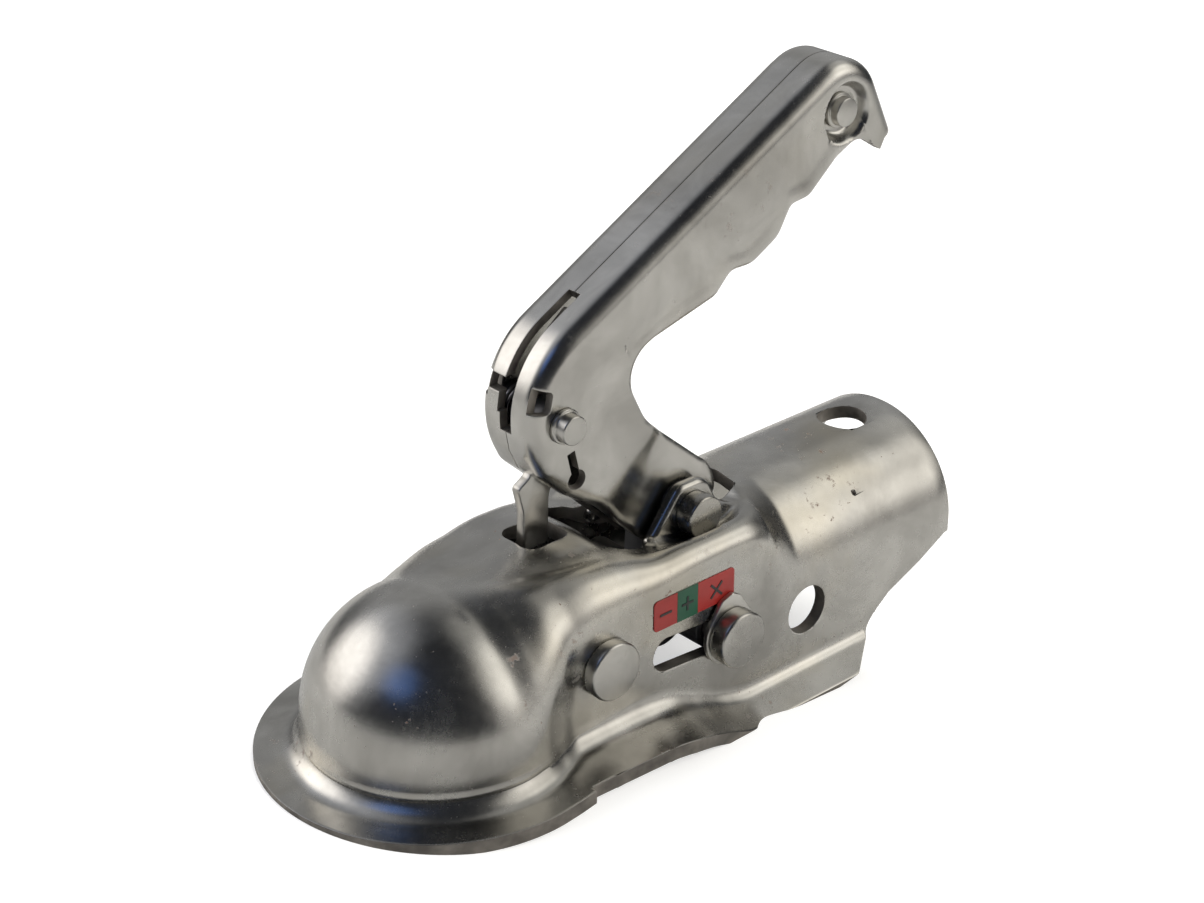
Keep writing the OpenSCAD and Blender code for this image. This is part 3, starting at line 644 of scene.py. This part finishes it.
handle = {
    "half": 11.0,
    "step": 2.2,           # how far the boss stands inside the grip
    "sheet": 2.5,
    "fold": 4.6,           # radius of the bend between side and back
    "spacing": 1.1,
    "foldRows": 22,
    "sideRows": 46,
    "seam": 0.12,
    "crease": 0.3,
    "creaseAt": (-33.5, 51),
    "creaseSpread": 0.9,
    "bevel": 0.3,
    # the back and the underside of the grip in the handle's own axes, with corner radii
    "back": ((-12.12, -7, 0), (-18.5, 9.5, 3), (-23, 22.5, 8), (-29.5, 33.5, 12), (-33.5, 44, 5), (-33.5, 73.5, 27),
             (92, 78.3, 8), (109.5, 78, 15), (109.5, 47, 0)),
    "under": ((12.12, 7, 0), (0.6, 34, 16), (0.6, 53.9, 10), (13, 53.5, 5), (35.5, 48.7, 4), (43, 51.3, 4),
              (50, 47.7, 8), (61, 48.1, 7), (68.5, 53.1, 3), (75, 50.7, 5), (88, 53.9, 6), (97, 53.7, 6),
              (102.2, 45, 0)),
    # the round boss before both lines, as degrees
    "boss": 14.0,
    "bossBack": (250, 211, -3),
    "bossUnder": (290, 387, 3),
    # places on the back and on the underside that one section joins
    "pairs": (((-4.79, -13.16), (4.79, -13.16)), ((-12.12, -7), (12.12, -7)), ((-18.5, 9.5), (12.1, 7)),
              ((-23, 22.5), (6, 21)), ((-29.5, 33.5), (1.3, 33)), ((-33.5, 46), (0.6, 43)),
              ((-31, 58), (1.4, 47.6)), ((-24, 67.5), (4.2, 51.3)), ((-14, 73.2), (8.4, 53.3)),
              ((-4, 74.7), (12.8, 53.5)), ((8, 75.2), (17, 52.5)), ((22, 75.7), (25, 51)), ((88, 78.1), (88, 53.5)),
              ((98, 77.9), (93, 53.7)), ((105.5, 73.5), (96.3, 52.6)), ((109.5, 63), (98.9, 50.5)),
              ((109.5, 55), (100.6, 47.7)), ((109.5, 47), (102.2, 45))),
    # length along the back, width of the folded rim there
    "rim": ((0, 2.4), (27, 2.6), (41, 4.8), (54, 7.6), (64, 13.5), (400, 13.5)),
    # ramp from the grip down to the boss: top and foot as place, height and slope, then cap, least width, ease
    "rampTop": (-3.6, 32, 0.226),
    "rampFoot": (1.7, 21.2, 0.552),
    "ramp": (45, 3, 0.12),
    # dish round the top rivet: place, inner and outer radius, depth
    "dish": (95.7, 63.4, 6.4, 9.0, 3.5),
    # soft edge: depth and reach, then the hollow beside it: depth, place and spread, and where it starts
    "edge": (0.8, 2.4),
    "hollow": (0.5, 6.5, 3.2),
    "hollowFrom": (4, 40),
    "lipFrom": 100,
    # holes as place and radius, cuts as outline and reach across
    "bush": (0, 0, 7.05),
    "lowRivet": (-21.8, 54.3, 4),
    "topRivet": (95.7, 63.4, 4),
    "corner": (((-42, 73, 0), (-24.0, 60.3, 1.5), (-20.2, 65.0, 1.5), (-36, 80, 0)), 7.6, 12),
    "gap": (((4, 90, 0), (3, 66, 0), (-14, 60, 0), (-26, 54, 0), (-45, 62, 0), (-20, 90, 0)), -1, 2.2),
    "bar": (((-45, 76.6, 0), (-20, 66.6, 1), (-21, 62.7, 1), (-45, 72.6, 0)), -1, 7.3),
    "leg": (((-45, 74, 0), (-21, 64, 1), (-21, 57.6, 1), (-45, 66.5, 0)), -1, 3.2),
}
keyhole = {"place": (-25.4, 37), "radius": 2.9, "halfWidth": 1.35, "up": (0.218, 0.976), "length": 8.7}


# A line through points, measured along its length
class Line:
    def __init__(self, points):
        self.points = [Vector(p) for p in points]
        self.at = [0]
        for p, q in zip(self.points, self.points[1:]):
            self.at.append(self.at[-1] + (q - p).length)

    def spot(self, length):
        length = max(0, min(self.at[-1], length))
        for i in range(1, len(self.at)):
            if length <= self.at[i]:
                share = (length - self.at[i - 1]) / max(1e-9, self.at[i] - self.at[i - 1])
                return self.points[i - 1].lerp(self.points[i], share)
        return self.points[-1]

    def nearest(self, x, z):
        gaps = [((self.spot(k / 4) - Vector((x, z))).length, k / 4) for k in range(int(self.at[-1] * 4) + 1)]
        return min(gaps)[1]

    def inward(self, length):
        along = self.spot(length + 0.6) - self.spot(length - 0.6)
        return Vector((along.y, -along.x)).normalized()


def heightOn(line, u):
    place, height, slope = line
    return height + (u - place) * slope


# How far the side is pressed in at a place of the handle
def pressedIn(u, v):
    cap, least, ease = handle["ramp"]
    high = min(cap, heightOn(handle["rampTop"], u))
    low = heightOn(handle["rampFoot"], u)
    t = max(0, min(1, (high - v) / max(least, high - low)))
    depth = handle["step"] * (t - ease * math.sin(math.tau * t))
    x, z, inner, outer, deep = handle["dish"]
    t = max(0, min(1, (outer - math.dist((u, v), (x, z))) / (outer - inner)))
    return depth + deep * t * t * (3 - 2 * t)


# The soft edge of the side, and the hollows behind the finger waves
def softEdge(u, v, edge):
    if u > handle["lipFrom"]:
        return 0
    depth, place, spread = handle["hollow"]
    startU, startV = handle["hollowFrom"]
    hollow = depth * bell(edge, place, spread) if u > startU and v > startV else 0
    drop, reach = handle["edge"]
    return hollow + drop * max(0, 1 - edge / reach) ** 2


# The pressed sheet of one half, on the near side: folded rim first, then the side down to the underside
def buildHalf(name):
    boss = handle["boss"]
    left, right = ([(boss * math.cos(math.radians(a)), boss * math.sin(math.radians(a))) for a in range(*angles)]
                   for angles in (handle["bossBack"], handle["bossUnder"]))
    back = Line(left + rounded(handle["back"], 3))
    under = Line(right + rounded(handle["under"], 3))
    pairs = [(back.nearest(*b), under.nearest(*u)) for b, u in handle["pairs"]]
    rimSlopes = slopesOf(handle["rim"])
    columns = round(back.at[-1] / handle["spacing"])
    foldRows, rows = handle["foldRows"], handle["foldRows"] + handle["sideRows"]
    bpy.ops.mesh.primitive_grid_add(x_subdivisions=columns, y_subdivisions=rows - 1, size=2)
    half = bpy.context.object
    half.name = name
    r = handle["fold"]
    arc = r * math.pi / 2
    crease = back.nearest(*handle["creaseAt"])
    sections = []
    for column in range(columns + 1):
        length = back.at[-1] * column / columns
        for (b0, u0), (b1, u1) in zip(pairs, pairs[1:]):
            if length <= b1:
                break
        end = under.spot(u0 + (u1 - u0) * (length - b0) / max(1e-9, b1 - b0))
        spot, inward = back.spot(length), back.inward(length)
        width = between(handle["rim"], rimSlopes, length)[1]
        if width < arc:
            spot = spot - inward * r * (1 - math.cos(math.pi / 2 - width / r))
        inside = spot + inward * r
        section = []
        for row in range(rows):
            if row < foldRows:
                rest = width * (1 - row / (foldRows - 1))
                if rest < arc:
                    angle = math.pi / 2 - rest / r
                    p, y = spot + inward * r * (1 - math.cos(angle)), handle["half"] - r + r * math.sin(angle)
                else:
                    p, y = spot, max(handle["seam"], handle["half"] - r - (rest - arc))
                narrow = 1 - pressedIn(inside.x, inside.y) / handle["half"]
                high = handle["crease"] * bell(length, crease, handle["creaseSpread"]) if rest > arc else 0
                form = (narrow, 0, -inward * high)
            else:
                p, y = inside.lerp(end, (row - foldRows + 1) / (rows - foldRows)), handle["half"]
                form = (1 - pressedIn(p.x, p.y) / y, softEdge(p.x, p.y, (p - end).length), Vector((0, 0)))
            section.append((Vector((p.x, y, p.y)), form))
        sections.append(section)
    forms = []
    for v in half.data.vertices:
        spot, form = sections[round((v.co.x + 1) / 2 * columns)][round((v.co.y + 1) / 2 * (rows - 1))]
        v.co = spot * mm
        forms.append(form)
    return half, forms


# Presses the forms into both faces of the sheet, whose outer vertices come first
def pressHalf(piece, forms):
    count = len(forms)
    for v in piece.data.vertices:
        narrow, soft, lift = forms[v.index % count]
        v.co.y *= narrow
        if v.index < count:
            v.co += Vector((lift.x, -soft, lift.y)) * mm


def keyholeOutline():
    (x, z), r, w = keyhole["place"], keyhole["radius"], keyhole["halfWidth"]
    up = Vector(keyhole["up"])
    side = Vector((-up.y, up.x))
    top = Vector((x, z)) + up * keyhole["length"]
    points = [tuple(top - side * w), tuple(top + side * w)]
    start = math.degrees(math.atan2(up.y, up.x)) + math.degrees(math.asin(w / r))
    sweep = 360 - 2 * math.degrees(math.asin(w / r))
    for i in range(41):
        a = math.radians(start + sweep * i / 40)
        points.append((x + r * math.cos(a), z + r * math.sin(a)))
    return points


# One half of the handle, side -1 for the near one and 1 for the far one
def buildShell(node, name, side):
    piece, forms = buildHalf(name)
    if sum(f.normal.y * f.area for f in piece.data.polygons) < 0:
        piece.data.flip_normals()
    piece.data.materials.append(finishes["zinc_handle"])
    piece.data.materials.append(finishes["cut_edge"])
    apply(piece, "SOLIDIFY", thickness=handle["sheet"] * mm, offset=-1, use_even_offset=True, material_offset_rim=1)
    pressHalf(piece, forms)
    if side < 0:
        piece.data.transform(Matrix.Scale(-1, 4, (0, 1, 0)))
        piece.data.flip_normals()

    def across(name, outline, low=0, high=20):
        low, high = sorted((side * low, side * high))
        return prism(name, outline, low, high)

    def cut(name):
        corners, low, high = handle[name]
        return across(name + "Cut", rounded(corners), low, high)

    cutAway(piece, [
        across("bushCut", roundOutline(*handle["bush"])),
        across("lowCut", roundOutline(*handle["lowRivet"])),
        across("topCut", roundOutline(*handle["topRivet"])),
        across("keyCut", keyholeOutline(), 3),
        cut("corner"),
        cut("gap"),
    ])
    if side > 0:
        cutAway(piece, [cut("bar")])
        cutAway(piece, [cut("leg")])
    editAll(piece, mergeClose(0.05))
    print(name, "cut:", len(piece.data.polygons), "faces, length", round(piece.dimensions.x / mm, 1))
    apply(piece, "BEVEL", width=handle["bevel"] * mm, segments=2, limit_method="ANGLE", angle_limit=math.radians(50))
    turn = Matrix.Rotation(math.radians(-pivot["open"]), 4, "Y")
    piece.data.transform(Matrix.Translation(Vector((pivot["x"], 0, pivot["z"])) * mm) @ turn)
    smoothEdges(piece, 38)
    dress(piece, "zinc_handle", "handle", node)
    return piece


nearShell = buildShell("handle_near_shell", "handle_near_half", -1)
farShell = buildShell("handle_far_shell", "handle_far_half", 1)
print("handle shells done:", len(nearShell.data.polygons), len(farShell.data.polygons), "faces")

# The other pieces keep the CAD shape, with rounded edges: body, bevel in mm, steps
refined = {
    "jaw": ("jaw", 0.8, 3),
    "jaw_pin": ("housing", 0.7, 3),
    "jaw_pin_ring": ("housing", 0.5, 2),
    "jaw_spacers": ("housing", 0.3, 2),
    "indicator_pin": ("slider", 0.8, 3),
    "pointer": ("slider", 0.25, 2),
    "indicator_pin_ring": ("slider", 0.5, 2),
    "pin_sleeves": ("slider", 0.3, 2),
    "push_frame": ("slider", 0.4, 2),
    "spring_seat": ("housing", 0.3, 2),
    "top_rivet": ("handle", 0.3, 2),
    "grip_spacer": ("handle", 0.3, 2),
    "lower_rivet": ("handle", 0.5, 3),
    "catch": ("catch", 0.3, 2),
    "catch_spacers": ("handle", 0.15, 1),
    "pivot_bolt": ("housing", 0.7, 3),
    "pivot_ring": ("housing", 0.4, 2),
    "pivot_bush": ("handle", 0.3, 1),
    "crank": ("handle", 0.6, 2),
    "label_red_fields": ("housing", 0.08, 1),
    "label_green_field": ("housing", 0.0, 1),
    "label_signs": ("housing", 0.0, 1),
    "closing_springs": ("housing", 0.0, 1),
    "catch_spring": ("handle", 0.0, 1),
}
for node, (body, width, steps) in refined.items():
    piece = copyNode(node, node + "_finished")
    if width:
        apply(piece, "DECIMATE", decimate_type="DISSOLVE", angle_limit=math.radians(1))
        apply(piece, "BEVEL", width=width * mm, segments=steps, limit_method="ANGLE", angle_limit=math.radians(40))
    smoothEdges(piece, 35)
    dress(piece, slotOf[node], body, node)
print("small pieces done")
